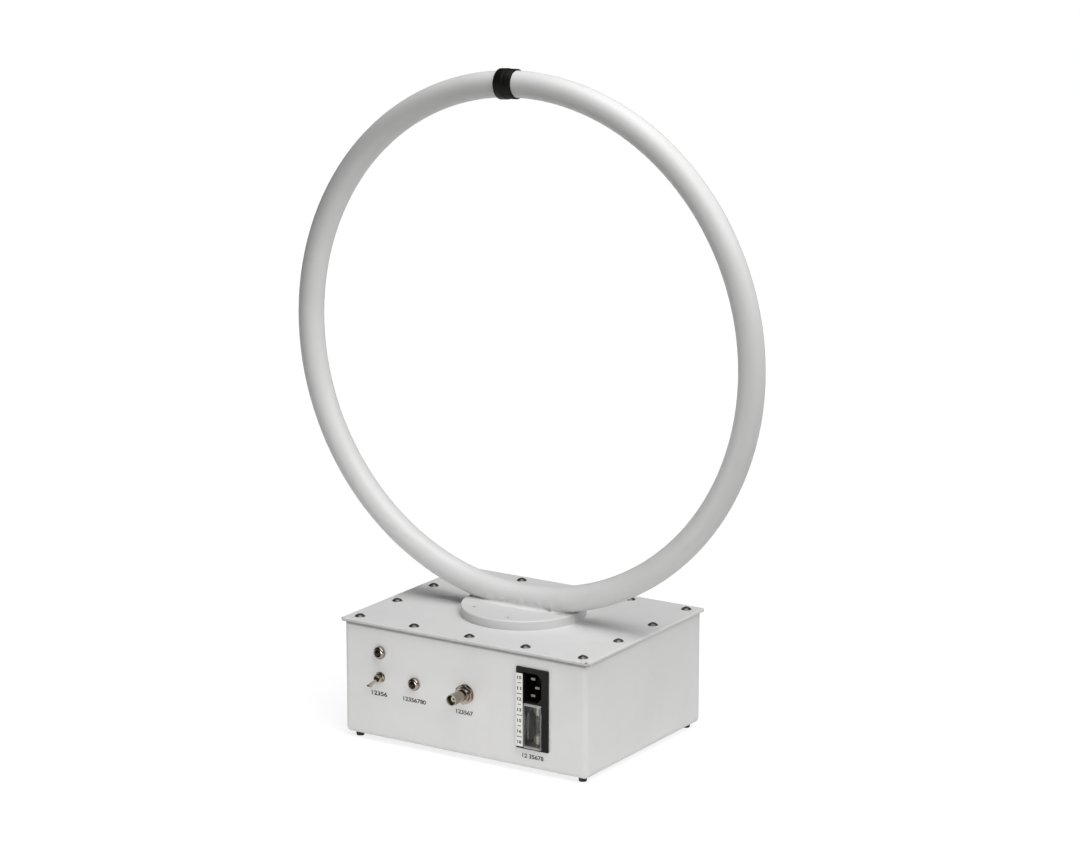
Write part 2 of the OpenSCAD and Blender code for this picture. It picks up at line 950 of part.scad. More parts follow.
module fuse_lever() {
  color("#3d3a38")
  on_panel(inlet_x, inlet_z)
    translate([door_x, recess_y, -recess_depth]) {
      translate([-5 - arm_t, -12, 0]) cube([arm_t, arm_h, recess_depth - 1]);
      translate([-5 - arm_t / 2, -3, 2.5]) cube([7, 5, 1.2]);
    }
}

module voltage_card() {
  color("#6b8f4a")
  on_panel(inlet_x, inlet_z)
    translate([door_x - recess_w / 2 + slack, recess_y - 14, -recess_depth])
      cube([card_t, card_h, recess_depth - 2.5]);
}

module inlet_label() {
  color("#eeeeec")
  on_panel(inlet_x, inlet_z)
    translate([-inlet_w / 2 + 0.2, -inlet_h / 2 + 1.5, face_t])
      cube([inlet_w / 2 + door_x - door_w / 2 + 0.3, inlet_h - 6.6, label_t]);
}

// Power switch
module switch_case() {
  color("#1f3f7a")
  on_panel(switch_x, row_z)
  difference() {
    translate([-case_w / 2, -6.4, case_top - case_depth]) cube([case_w, 12.8, case_depth]);
    translate([case_wall - case_w / 2, -5.2, case_top - case_depth + 1])
      cube([case_w - 2 * case_wall, 10.4, case_depth - 2]);
    translate([0, 0, case_top - 1 - over]) cylinder(d = 6.2, h = 3);
  }
}

module switch_bushing() {
  color("#c2c0b8")
  on_panel(switch_x, row_z)
  difference() {
    union() {
      translate([0, 0, case_top]) cylinder(d = case_w - 1, h = flange_t);
      translate([0, 0, case_top]) cylinder(d = bush_d, h = bush_out - case_top);
    }
    rotate_extrude()
      polygon([[0, case_top - over], [2.75, case_top - over], [2.75, case_top], [2.1, pivot_out - 1],
        [2.1, pivot_out + 1.1], [1.85, pivot_out + 1.1], [1.85, pivot_out + 1.7], [2.5, bush_out],
        [2.5, bush_out + over], [0, bush_out + over]]);
    translate([0, 0, pivot_out])
      rotate([0, 90, 0])
        cylinder(d = pivot_d + 0.04, h = bush_d + 2, center = true);
  }
}

module switch_washer() {
  color("#aeb0b0")
  on_panel(switch_x, row_z)
  difference() {
    cylinder(d = switch_af + 1, h = washer_t);
    translate([0, 0, -over]) cylinder(d = bush_d + 2 * slack, h = washer_t + 2 * over);
  }
}

module switch_nut() {
  color("#c6c4bb")
  on_panel(switch_x, row_z)
    translate([0, 0, washer_t])
      hex_nut(bush_d + 2 * slack, switch_af, 1.6);
}

module switch_lever() {
  color("#cfccc2")
  on_panel(switch_x, row_z)
    translate([0, 0, pivot_out])
      rotate([lever_tilt, 0, 0])
        difference() {
          union() {
            sphere(r = ball_r);
            rotate_extrude()
              polygon([[0, -tail_len], [tail_r, -tail_len], [tail_r, 0], [neck_r, 1], [neck_r, 3.5],
                [tip_r, lever_out - pivot_out - 2.4], [tip_r, lever_out - pivot_out - 0.8],
                [tip_r - 0.8, lever_out - pivot_out], [0, lever_out - pivot_out]]);
          }
          rotate([0, 90, 0]) cylinder(d = pivot_d + 0.12, h = 6, center = true);
        }
}

module switch_pin() {
  color("#a9aaa8")
  on_panel(switch_x, row_z)
    translate([0, 0, pivot_out])
      rotate([0, 90, 0])
        cylinder(d = pivot_d, h = bush_d - 0.4, center = true);
}

module switch_rocker() {
  color("#c9a64e")
  on_panel(switch_x, row_z)
    translate([0, 0, rocker_z - 0.65])
      rotate([-rocker_tilt, 0, 0])
        union() {
          translate([-2, -rocker_len / 2, 0.15]) cube([4, rocker_len, 0.5]);
          rotate([0, 90, 0]) cylinder(d = 0.8, h = 5, center = true);
        }
}

module switch_terminals() {
  color("#c9c7bd")
  on_panel(switch_x, row_z) {
    translate([-2.5, -0.6, case_top - case_depth + 1])
      cube([5, 1.2, rocker_z - 1.2 - case_top + case_depth - 1]);
    for (s = [-1, 0, 1])
      translate([-1, s * 4.4 - 0.4, case_top - case_depth - lug_len]) cube([2, 0.8, lug_len]);
  }
}

// Lamps
module lamp_bezels() {
  color("#c8c6be")
  at_lamps()
    rotate_extrude()
      difference() {
        union() {
          translate([0, -sheet_t - lamp_len]) square([bezel_d / 2 - 1.5, sheet_t + lamp_len + 1]);
          intersection() {
            translate([bezel_d / 2 - bezel_round, bezel_h - bezel_round]) circle(r = bezel_round);
            square([bezel_d, 2 * bezel_h]);
          }
          square([bezel_d / 2 - 1, bezel_h - bezel_round]);
        }
        translate([-over, -sheet_t - lamp_len - over])
          square([over + led_d / 2 + slack / 2, sheet_t + lamp_len + 2 * bezel_h]);
      }
}

module lamp_lights() {
  color("#5a1713")
  at_lamps() {
    rotate_extrude()
      union() {
        translate([0, -sheet_t - lamp_len]) square([led_d / 2, sheet_t + lamp_len + led_rise]);
        translate([0, led_rise])
          intersection() {
            circle(r = led_d / 2);
            square(led_d);
          }
        translate([0, -sheet_t - lamp_len - 1]) square([led_d / 2 + 0.4, 1]);
      }
    translate([0, 0, -sheet_t - 2 * lamp_len]) cylinder(d = lead_d, h = lamp_len - 1);
  }
}

module lamp_nuts() {
  color("#b9b9b4")
  at_lamps()
    translate([0, 0, -sheet_t - 2])
      hex_nut(bezel_d - 2.8, bezel_d, 2);
}

// Output connector
module output_body() {
  color("#cbc8bd")
  on_panel(output_x, row_z)
  difference() {
    union() {
      translate([0, 0, -sheet_t - 2]) cylinder(d = output_d + 4, h = 2);
      translate([0, 0, -sheet_t - output_deep]) cylinder(d = output_d - 2, h = output_deep - 1);
      translate([0, 0, -sheet_t - 1]) cylinder(d = output_d, h = sheet_t + 1 + thread_out);
      cylinder(d = barrel_d, h = output_reach);
      translate([0, 0, output_reach - 5])
        rotate([0, 90, 0])
          cylinder(d = bayonet_d, h = barrel_d + 1.4, center = true);
    }
    translate([0, 0, thread_out + 2.5]) cylinder(d = mouth_d, h = output_reach);
    translate([0, 0, -sheet_t - output_deep - over]) cylinder(d = core_bore, h = output_reach);
  }
}

module output_insulator() {
  color("#ecebe4")
  on_panel(output_x, row_z)
  difference() {
    union() {
      translate([0, 0, -sheet_t - output_deep])
        cylinder(d = core_bore - slack, h = sheet_t + output_deep + thread_out + 2.5);
      translate([0, 0, thread_out]) cylinder(d = 4.8, h = output_reach - thread_out - 3.5);
    }
    translate([0, 0, -sheet_t - output_deep - over])
      cylinder(d = contact_d + slack, h = output_reach + sheet_t + output_deep + 2 * over);
  }
}

module output_contact() {
  color("#c9a64e")
  on_panel(output_x, row_z)
  difference() {
    translate([0, 0, -sheet_t - output_deep - output_wire])
      cylinder(d = contact_d, h = sheet_t + output_deep + output_wire + output_reach - 4.5);
    translate([0, 0, output_reach - 9.5]) cylinder(d = 1.4, h = 6);
  }
}

module output_washer() {
  color("#b4b4ae")
  on_panel(output_x, row_z)
  difference() {
    cylinder(d = output_af + 1.6, h = 0.8);
    translate([0, 0, -over]) cylinder(d = output_d + 2 * slack, h = 4);
  }
}

module output_nut() {
  color("#c6c4bb")
  on_panel(output_x, row_z)
    translate([0, 0, 0.8])
      rotate([0, 0, 30])
        hex_nut(output_d + 2 * slack, output_af, 2.8);
}

// Leads
module output_coax() {
  color("#2a2a2b")
  lead([[output_x, front_y + sheet_t + output_deep + output_wire, row_z],
    [output_x, board_y - board_d / 2 + 6, row_z],
    [output_x, board_y - board_d / 2 + 6, board_top]], coax_d, 7);
}

module mains_leads() {
  color("#7c5a3a") {
    lead([[inlet_x, tab_y, inlet_z + 10], [inlet_x, tab_y + 9, inlet_z + 10],
      [switch_x, tab_y + 9, inlet_z + 10], [switch_x, tab_y + 9, row_z],
      [switch_x, front_y - case_top + case_depth + lug_len, row_z]], lead_d, 3);
    lead([[inlet_x - 8, tab_y, inlet_z - 10], [inlet_x - 8, mains_y, inlet_z - 10],
      [inlet_x - 8, mains_y, floor_z + core_h / 2], [mains_x - coil_out, mains_y, floor_z + core_h / 2]],
      lead_d, 2.5);
  }
}

module signal_leads() {
  color("#a33a2e") {
    lead([[mains_x - coil_out, mains_y + 9, floor_z + core_h / 2],
      [board_x + board_w / 2 - 4, mains_y + 9, floor_z + core_h / 2],
      [board_x + board_w / 2 - 4, mains_y + 9, board_top]], lead_d, 4);
    lead([[lamp_x, front_y + sheet_t + 2 * lamp_len, row_z], [lamp_x, board_y - board_d / 2 + 6, row_z],
      [lamp_x, board_y - board_d / 2 + 6, board_top]], lead_d, 4);
    lead([[switch_x, front_y + sheet_t + 2 * lamp_len, lamp_z], [switch_x, front_y + sheet_t + 24, lamp_z],
      [switch_x - 10, front_y + sheet_t + 24, lamp_z],
      [switch_x - 10, front_y + sheet_t + 24, board_top + 16],
      [switch_x - 10, board_y - board_d / 2 + 14, board_top + 16],
      [switch_x - 10, board_y - board_d / 2 + 14, board_top]], lead_d, 4);
  }
}

placed() box_shell();
placed() box_lid();
placed() lid_screws();
placed() lid_nuts();
placed() rubber_feet();
placed() tripod_bush();
placed() loop_base();
placed() base_screws();
placed() base_nuts();
placed() loop_tube();
placed() gap_insulator();
placed() loop_winding();
placed() winding_spacers();
placed() seat_bead();
placed() lead_bush();
placed() amplifier_board();
placed() board_standoffs();
placed() board_screws();
placed() input_terminal();
placed() shield_can();
placed() board_chips();
placed() board_capacitors();
placed() transformer_core();
placed() transformer_coil();
placed() transformer_strap();
placed() transformer_screws();
placed() inlet_housing();
placed() inlet_clips();
placed() inlet_pins();
placed() filter_can();
placed() filter_tabs();
placed() fuse_door();
placed() fuse_glass();
placed() fuse_caps();
placed() fuse_clips();
placed() fuse_lever();
placed() voltage_card();
placed() inlet_label();
placed() switch_case();
placed() switch_bushing();
placed() switch_washer();
placed() switch_nut();
placed() switch_lever();
placed() switch_pin();
placed() switch_rocker();
placed() switch_terminals();
placed() lamp_bezels();
placed() lamp_lights();
placed() lamp_nuts();
placed() output_body();
placed() output_insulator();
placed() output_contact();
placed() output_washer();
placed() output_nut();
placed() output_coax();
placed() mains_leads();
placed() signal_leads();
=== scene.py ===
import json
import math
import bmesh
import bpy
from mathutils import Matrix, Vector, noise


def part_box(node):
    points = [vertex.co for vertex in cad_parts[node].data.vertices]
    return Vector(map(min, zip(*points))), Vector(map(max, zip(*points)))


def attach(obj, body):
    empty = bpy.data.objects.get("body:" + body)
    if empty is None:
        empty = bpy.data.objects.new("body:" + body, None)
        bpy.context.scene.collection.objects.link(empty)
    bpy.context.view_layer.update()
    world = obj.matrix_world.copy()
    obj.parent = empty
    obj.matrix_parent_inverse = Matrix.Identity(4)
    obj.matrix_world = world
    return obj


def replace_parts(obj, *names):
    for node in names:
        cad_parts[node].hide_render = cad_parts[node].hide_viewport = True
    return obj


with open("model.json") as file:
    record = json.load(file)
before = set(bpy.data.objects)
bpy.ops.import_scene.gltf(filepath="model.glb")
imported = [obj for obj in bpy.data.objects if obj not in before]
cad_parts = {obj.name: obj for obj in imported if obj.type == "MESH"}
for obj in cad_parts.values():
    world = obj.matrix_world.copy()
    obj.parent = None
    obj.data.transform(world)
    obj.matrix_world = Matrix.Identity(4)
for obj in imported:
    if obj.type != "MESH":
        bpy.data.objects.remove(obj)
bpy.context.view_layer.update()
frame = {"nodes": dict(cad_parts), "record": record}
scene = bpy.context.scene
scene.view_settings.view_transform = "Standard"
mm = 0.001
mergeGap = 0.002 * mm  # corners nearer than this are one


class Wire:
    # a shader socket that takes part in plain sums
    def __init__(self, tree, socket=None):
        self.tree = tree
        self.socket = socket

    def node(self, kind, settings=None, inputs=None, out=0):
        made = self.tree.nodes.new(kind)
        for key, value in (settings or {}).items():
            setattr(made, key, value)
        for key, value in (inputs or {}).items():
            if isinstance(value, Wire):
                self.tree.links.new(value.socket, made.inputs[key])
            else:
                made.inputs[key].default_value = value
        return Wire(self.tree, made.outputs[out])

    def maths(self, operation, first, second):
        return self.node("ShaderNodeMath", {"operation": operation}, {0: first, 1: second})

    def __add__(self, other):
        return self.maths("ADD", self, other)

    def __radd__(self, other):
        return self.maths("ADD", other, self)

    def __sub__(self, other):
        return self.maths("SUBTRACT", self, other)

    def __rsub__(self, other):
        return self.maths("SUBTRACT", other, self)

    def __mul__(self, other):
        return self.maths("MULTIPLY", self, other)

    def __rmul__(self, other):
        return self.maths("MULTIPLY", other, self)

    def __lt__(self, other):
        return self.maths("LESS_THAN", self, other)

    def __gt__(self, other):
        return self.maths("GREATER_THAN", self, other)

    def noise(self, place, scale, detail=2.0, rough=0.5):
        # the looks below give a noise as scale, detail and roughness
        return self.node("ShaderNodeTexNoise", None,
                         {"Vector": place, "Scale": scale, "Detail": detail, "Roughness": rough})

    def swing(self, value, reach):
        # a value between nought and one, turned into one to both sides of nought
        return (value - 0.5) * reach

    def cells(self, place, scale):
        return self.node("ShaderNodeTexVoronoi", None, {"Vector": place, "Scale": scale})

    def bands(self, place, scale, axis, warp):
        return self.node("ShaderNodeTexWave", {"bands_direction": axis},
                         {"Vector": place, "Scale": scale, "Distortion": warp}, "Fac")

    def step(self, value, low, high):
        # nought at low and one at high, which the looks below call its ends
        return self.node("ShaderNodeMapRange", {"interpolation_type": "SMOOTHSTEP"},
                         {"Value": value, "From Min": low, "From Max": high})

    def blend(self, factor, first, second):
        # a mix node keeps its colours in sockets 6 and 7 and output 2
        return self.node("ShaderNodeMix", {"data_type": "RGBA"}, {0: factor, 6: first, 7: second}, 2)

    def stretch(self, place, scale):
        return self.node("ShaderNodeMapping", None, {"Vector": place, "Scale": scale})

    def near(self, place, point):
        return self.node("ShaderNodeVectorMath", {"operation": "DISTANCE"}, {0: place, 1: point}, "Value")

    def part(self, place, axis):
        return self.node("ShaderNodeSeparateXYZ", None, {0: place}, axis)


def rgb(r, g, b):
    return (r, g, b, 1.0)


def shaded(colour, share, lift=0.0):
    return rgb(*(c * share + lift for c in colour[:3]))


def startMaterial(name):
    made = bpy.data.materials.new(name)
    made.use_nodes = True
    shader = made.node_tree.nodes["Principled BSDF"]
    maker = Wire(made.node_tree)
    place = maker.node("ShaderNodeTexCoord", out="Object")
    return made, shader, maker, place


def plug(maker, shader, **sockets):
    names = {"colour": "Base Color", "rough": "Roughness", "alpha": "Alpha", "normal": "Normal"}
    for key, value in sockets.items():
        maker.tree.links.new(value.socket, shader.inputs[names[key]])


def bumped(maker, height, look):
    return maker.node("ShaderNodeBump", None,
                      {"Strength": look["relief"], "Distance": look["depth"], "Height": height})


# satin paint with a fine orange peel, faint clouds of dust, pits and rubbed spots, and where asked painted
# shade at the lid's joint and in recesses
paintLook = {"colour": rgb(0.735, 0.738, 0.735), "rough": 0.42, "ior": 1.46,
             "cloud": (17, 4, 0.6), "cloudEnds": (0.42, 0.75), "cloudRough": 0.1,
             "dust": rgb(0.66, 0.655, 0.63), "dustShare": 0.3,
             "peel": (820, 1), "grit": (5200, 1), "gritShare": 0.15, "gritRough": 0.06,
             "pits": 150, "pitSize": 0.03, "pitShare": 0.16,
             "chip": rgb(0.21, 0.2, 0.19), "ragged": (900, 3), "raggedShare": 2.2, "chipCore": 0.6,
             "shadeTone": rgb(0.13, 0.127, 0.12), "relief": 0.22, "depth": 0.12 * mm}
# painted shade at the joint under the lid: a painted shadow below the lid's overhang and painted shade on
# the lid's front face, strongest on the front; ends are heights from the joint or ways back from the front
seamLook = {"wavy": (260, 2), "wavyReach": 0.4 * mm, "underEnds": (-3.2 * mm, -0.9 * mm),
            "crackEnds": (1.2 * mm, 0.4 * mm), "crackShare": 0.55,
            "edgeEnds": (3.0 * mm, 2.3 * mm), "edgeShare": 0.45,
            "frontEnds": (1.5 * mm, 0.5 * mm), "frontShare": 0.62, "allRound": 0.12}
# painted shade in what lies below a flush face, such as the screws' recesses
recessShadeLook = {"ends": (-0.15 * mm, -0.5 * mm), "share": 0.9}


def stepFrom(maker, value, level, ends):
    return maker.step(value, level + ends[0], level + ends[1])


def seamShadow(maker, place, front, joint):
    look = seamLook
    z = maker.part(place, "Z") + maker.swing(maker.noise(place, *look["wavy"]), look["wavyReach"])
    under = stepFrom(maker, z, joint, look["underEnds"])
    crack = stepFrom(maker, z, joint, look["crackEnds"])
    edge = stepFrom(maker, z, joint, look["edgeEnds"])
    ahead = stepFrom(maker, maker.part(place, "Y"), front, look["frontEnds"])
    # painted shadow in the joint and painted shade on the lid's front face
    overhangShadow = under * (edge * look["edgeShare"] + crack * look["crackShare"])
    return overhangShadow * (ahead * look["frontShare"] + look["allRound"])


def paintFinish(name, shade=1.0, chips=(), seam=None, shadedBelow=None):
    made, shader, maker, place = startMaterial(name)
    look = paintLook
    cloud = maker.step(maker.noise(place, *look["cloud"]), *look["cloudEnds"])
    peel = maker.noise(place, *look["peel"])
    grit = maker.noise(place, *look["grit"])
    clean, dusty = shaded(look["colour"], shade), shaded(look["dust"], shade)
    colour = maker.blend(cloud * look["dustShare"], clean, dusty)
    pits = maker.cells(place, look["pits"]) < look["pitSize"]
    colour = maker.blend(pits * look["pitShare"], colour, look["chip"])
    for spot, radius in chips:
        ragged = maker.swing(maker.noise(place, *look["ragged"]), radius * look["raggedShare"])
        bare = maker.step(maker.near(place, spot) + ragged, radius, radius * look["chipCore"])
        colour = maker.blend(bare, colour, look["chip"])
    # painted shadow under the lid and painted shade on its front face
    if seam:
        colour = maker.blend(seamShadow(maker, place, *seam), colour, look["shadeTone"])
    # painted shade in recesses below the flush face
    if shadedBelow:
        sunkShade = stepFrom(maker, maker.part(place, "Z"), shadedBelow, recessShadeLook["ends"])
        colour = maker.blend(sunkShade * recessShadeLook["share"], colour, look["shadeTone"])
    plug(maker, shader, colour=colour,
         rough=look["rough"] + cloud * look["cloudRough"] + maker.swing(grit, look["gritRough"]),
         normal=bumped(maker, peel + grit * look["gritShare"], look))
    shader.inputs["IOR"].default_value = look["ior"]
    return made


# turned and plated metal: fine lathe lines, stains and small scratches
metalLook = {"stain": (420, 4, 0.65), "stainEnds": (0.45, 0.8), "stainRough": 0.14, "dull": 0.55,
             "warp": 1.5, "lineShare": 0.4, "scratch": (1, 2), "stretch": (900, 5200, 1500),
             "scratchRough": 0.1, "relief": 0.12, "depth": 0.05 * mm}


def metalFinish(name, colour, rough, line=3800, stain=0.25, axis="Y"):
    made, shader, maker, place = startMaterial(name)
    look = metalLook
    patch = maker.step(maker.noise(place, *look["stain"]), *look["stainEnds"])
    lines = maker.bands(place, line, axis, look["warp"])
    scratch = maker.noise(maker.stretch(place, look["stretch"]), *look["scratch"])
    plug(maker, shader, colour=maker.blend(patch * stain, colour, shaded(colour, look["dull"])),
         rough=rough + patch * look["stainRough"] + maker.swing(scratch, look["scratchRough"]),
         normal=bumped(maker, lines * look["lineShare"] + scratch, look))
    shader.inputs["Metallic"].default_value = 1.0
    return made


# moulded plastic: a fine spark-eroded grain and finger marks
plasticLook = {"marks": (95, 4, 0.6), "markEnds": (0.45, 0.8), "markRough": 0.12, "fade": 0.72, "pale": 0.09,
               "grainDetail": 2, "grainRough": 0.1, "relief": 0.16, "depth": 0.06 * mm, "ior": 1.49}


def plasticFinish(name, colour, rough, grain=2600, worn=0.2, shine=0.5):
    made, shader, maker, place = startMaterial(name)
    look = plasticLook
    marks = maker.step(maker.noise(place, *look["marks"]), *look["markEnds"])
    pebble = maker.noise(place, grain, look["grainDetail"])
    plug(maker, shader, colour=maker.blend(marks * worn, colour, shaded(colour, look["fade"], look["pale"])),
         rough=rough + marks * look["markRough"] + maker.swing(pebble, look["grainRough"]),
         normal=bumped(maker, pebble, look))
    shader.inputs["IOR"].default_value = look["ior"]
    shader.inputs["Specular IOR Level"].default_value = shine
    return made


# clear moulding: see-through in the middle and thicker where its walls turn, with a paler rim there that is
# a painted highlight
clearLook = {"wall": rgb(0.66, 0.67, 0.66), "wallCore": 0.35, "smear": (1, 4, 0.6), "stretch": (160, 60, 60),
             "smearEnds": (0.42, 0.78), "smearAlpha": 0.12, "smearRough": 0.22, "rough": 0.1, "ior": 1.49}


def clearFinish(name, box, wall, tint, middle, edge):
    made, shader, maker, place = startMaterial(name)
    look = clearLook
    x = maker.part(place, "X")
    z = maker.part(place, "Z")
    inset = maker.maths("MINIMUM", maker.maths("MINIMUM", x - box[0].x, box[1].x - x),
                        maker.maths("MINIMUM", z - box[0].z, box[1].z - z))
    # the rim gives the walls' thickness to alpha and a painted highlight to the colour
    rim = maker.step(inset, wall, wall * look["wallCore"])
    smear = maker.noise(maker.stretch(place, look["stretch"]), *look["smear"])
    smear = maker.step(smear, *look["smearEnds"])
    plug(maker, shader, colour=maker.blend(rim, tint, look["wall"]),
         alpha=middle + smear * look["smearAlpha"] + rim * (edge - middle),
         rough=look["rough"] + smear * look["smearRough"])
    shader.inputs["IOR"].default_value = look["ior"]
    return made


# green laminate with a grid of tracks under the mask
boardLook = {"mask": rgb(0.02, 0.14, 0.05), "track": rgb(0.05, 0.27, 0.1), "trackShare": 0.7,
             "rows": {"offset": 0.37, "squash": 0.7, "squash_frequency": 3},
             "grid": {"Scale": 95, "Mortar Size": 0.09, "Brick Width": 0.9, "Row Height": 0.22},
             "pad": rgb(0.5, 0.42, 0.2), "padScale": 260, "padSize": 0.16, "padShare": 0.5,
             "cloud": (120, 3), "cloudRough": 0.2, "rough": 0.35, "relief": 0.3, "depth": 0.04 * mm}


def boardFinish(name):
    made, shader, maker, place = startMaterial(name)
    look = boardLook
    tracks = maker.node("ShaderNodeTexBrick", look["rows"], {"Vector": place, **look["grid"]}, "Fac")
    cloud = maker.noise(place, *look["cloud"])
    pads = maker.cells(place, look["padScale"]) < look["padSize"]
    mask = maker.blend(tracks * look["trackShare"], look["mask"], look["track"])
    plug(maker, shader, colour=maker.blend(pads * look["padShare"], mask, look["pad"]),
         rough=look["rough"] + cloud * look["cloudRough"], normal=bumped(maker, tracks, look))
    return made


# stacked sheets or wound turns, as bands along one axis
bandLook = {"warp": 0.6, "ends": (0.12, 0.45), "relief": 0.5,
            "blotch": (140, 4, 0.6), "blotchShare": 0.3, "blotchRough": 0.2}


def bandedFinish(name, colour, gap, scale, axis, rough, depth):
    made, shader, maker, place = startMaterial(name)
    look = {**bandLook, "depth": depth}
    lines = maker.step(maker.bands(place, scale, axis, look["warp"]), *look["ends"])
    blotch = maker.noise(place, *look["blotch"])
    shade = maker.blend(lines, gap, colour)
    plug(maker, shader, colour=maker.blend(blotch * look["blotchShare"], shade, gap),
         rough=rough + blotch * look["blotchRough"], normal=bumped(maker, lines, look))
    return made


# plain label stock: paper white, a little yellowed in patches
labelLook = {"paper": rgb(0.83, 0.83, 0.81), "aged": rgb(0.66, 0.62, 0.52), "agedShare": 0.35,
             "age": (70, 3), "ageEnds": (0.4, 0.8), "fibre": (1, 3), "stretch": (2400, 2400, 900),
             "fibreRough": 0.15, "rough": 0.5, "relief": 0.1, "depth": 0.03 * mm}


def labelFinish(name):
    made, shader, maker, place = startMaterial(name)
    look = labelLook
    fibre = maker.noise(maker.stretch(place, look["stretch"]), *look["fibre"])
    age = maker.step(maker.noise(place, *look["age"]), *look["ageEnds"])
    plug(maker, shader, colour=maker.blend(age * look["agedShare"], look["paper"], look["aged"]),
         rough=look["rough"] + fibre * look["fibreRough"], normal=bumped(maker, fibre, look))
    return made


# unlit lens, so dark a red that it is nearly black
lensLook = {"red": rgb(0.008, 0.003, 0.003), "deep": rgb(0.005, 0.002, 0.002), "deepShare": 0.5,
            "flow": (600, 3), "flowRough": 0.06, "rough": 0.03, "shine": 0.2}


def lensFinish(name):
    made, shader, maker, place = startMaterial(name)
    look = lensLook
    flow = maker.noise(place, *look["flow"])
    plug(maker, shader, colour=maker.blend(flow * look["deepShare"], look["red"], look["deep"]),
         rough=look["rough"] + flow * look["flowRough"])
    shader.inputs["Specular IOR Level"].default_value = look["shine"]
    return made


# rubbed spots at the lid's front corners: steps in from the corner along X and Y, and radius
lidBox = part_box("box_lid")
wornSets = {"right": ((2.2 * mm, 1.2 * mm, 1.5 * mm), (6.8 * mm, 1.6 * mm, 1.0 * mm)),
            "left": ((0.8 * mm, 1.0 * mm, 1.4 * mm),)}
wornSpots = []
for side, spots in wornSets.items():
    for inX, inY, radius in spots:
        x = lidBox[1].x - inX if side == "right" else lidBox[0].x + inX
        wornSpots.append((Vector((x, lidBox[0].y + inY, lidBox[1].z)), radius))

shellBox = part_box("box_shell")
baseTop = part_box("loop_base")[1].z
lidSeam = (shellBox[0].y, lidBox[0].z)
doorLook = {"wall": 1.9 * mm, "tint": rgb(0.3, 0.3, 0.29), "middle": 0.04, "edge": 0.5}
glassLook = {"wall": 0.8 * mm, "tint": rgb(0.4, 0.42, 0.4), "middle": 0.12, "edge": 0.4}
stackLook = {"colour": rgb(0.2, 0.2, 0.21), "gap": rgb(0.05, 0.05, 0.055), "scale": 640, "axis": "X",
             "rough": 0.45, "depth": 0.2 * mm}
coilLook = {"colour": rgb(0.5, 0.33, 0.1), "gap": rgb(0.28, 0.16, 0.05), "scale": 150, "axis": "Z",
            "rough": 0.4, "depth": 0.3 * mm}
tapeBlack, mouldBlack = rgb(0.0055, 0.005, 0.0045), rgb(0.006, 0.0055, 0.005)

finishes = {
    "white_paint": paintFinish("whitePaint", chips=wornSpots, seam=lidSeam),
    "painted_screw": paintFinish("paintedScrew", 0.9, shadedBelow=baseTop),
    # the bead's paint is a lighter copy of the white paint: painted light on its upward faces
    "bead": paintFinish("litBeadPaint", 1.08),
    "dark_steel": metalFinish("darkSteel", rgb(0.15, 0.138, 0.12), 0.42),
    "zinc": metalFinish("zincPlate", rgb(0.66, 0.65, 0.6), 0.32),
    "nickel": metalFinish("nickelPlate", rgb(0.36, 0.315, 0.265), 0.13, line=2600, stain=0.3),
    "brass": metalFinish("turnedBrass", rgb(0.74, 0.56, 0.26), 0.24),
    "contact_metal": metalFinish("tinPlate", rgb(0.78, 0.76, 0.7), 0.3),
    "can": metalFinish("tinnedSheet", rgb(0.66, 0.66, 0.65), 0.36, line=900, stain=0.3, axis="Z"),
    "black_insulator": plasticFinish("blackTape", tapeBlack, 0.5, grain=1500, worn=0.04, shine=0.12),
    "black_plastic": plasticFinish("blackMoulding", mouldBlack, 0.42, grain=2200, worn=0.03, shine=0.14),
    "grey_plastic": plasticFinish("greyMoulding", rgb(0.15, 0.14, 0.13), 0.45),
    "white_plastic": plasticFinish("nylonMoulding", rgb(0.8, 0.78, 0.7), 0.4),
    "rubber": plasticFinish("footRubber", rgb(0.018, 0.018, 0.018), 0.7, grain=1400, worn=0.3),
    "chip": plasticFinish("chipMoulding", rgb(0.02, 0.02, 0.022), 0.5),
    "capacitor": plasticFinish("capacitorSleeve", rgb(0.03, 0.06, 0.22), 0.3),
    "terminal": plasticFinish("blueMoulding", rgb(0.04, 0.12, 0.34), 0.42),
    "coax": plasticFinish("cableJacket", rgb(0.02, 0.02, 0.02), 0.5),
    "wire": plasticFinish("leadInsulation", rgb(0.3, 0.07, 0.04), 0.4),
    "clear_plastic": clearFinish("clearDoor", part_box("fuse_door"), **doorLook),
    "glass": clearFinish("fuseGlass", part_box("fuse_glass"), **glassLook),
    "lens": lensFinish("lampLens"),
    "label": labelFinish("plainLabel"),
    "board": boardFinish("greenLaminate"),
    "laminations": bandedFinish("coreStack", **stackLook),
    "coil": bandedFinish("tapedCoil", **coilLook),
}
# pieces whose finish differs from their slot's: base, lever, lamp rims and what shows in the inlet
ownFinishes = {
    # the base's paint is a darker copy of the white paint: painted shade
    "loop_base": paintFinish("shadedBasePaint", 0.94),
    "switch_lever": metalFinish("brightLever", rgb(0.6, 0.575, 0.54), 0.16, line=2600, stain=0.2),
    "lamp_bezels": metalFinish("smokedRims", rgb(0.32, 0.28, 0.235), 0.1, line=2600, stain=0.3),
    # the pins are darkened: painted shade of the deep socket
    "inlet_pins": metalFinish("shadedPins", rgb(0.15, 0.14, 0.13), 0.4),
    "fuse_caps": metalFinish("dullCaps", rgb(0.3, 0.29, 0.27), 0.4),
    "fuse_clips": metalFinish("dullClips", rgb(0.2, 0.17, 0.12), 0.42),
    "fuse_lever": plasticFinish("darkLever", rgb(0.03, 0.029, 0.028), 0.45),
    "voltage_card": plasticFinish("darkCard", rgb(0.05, 0.05, 0.048), 0.5),
}
for part in frame["record"]["subparts"]:
    holder = frame["nodes"][part["node"]]
    finish = ownFinishes.get(part["node"], finishes[part["material_slot"]])
    if holder.material_slots:
        holder.material_slots[0].material = finish
    else:
        holder.data.materials.append(finish)
print("finishes:", len(finishes))


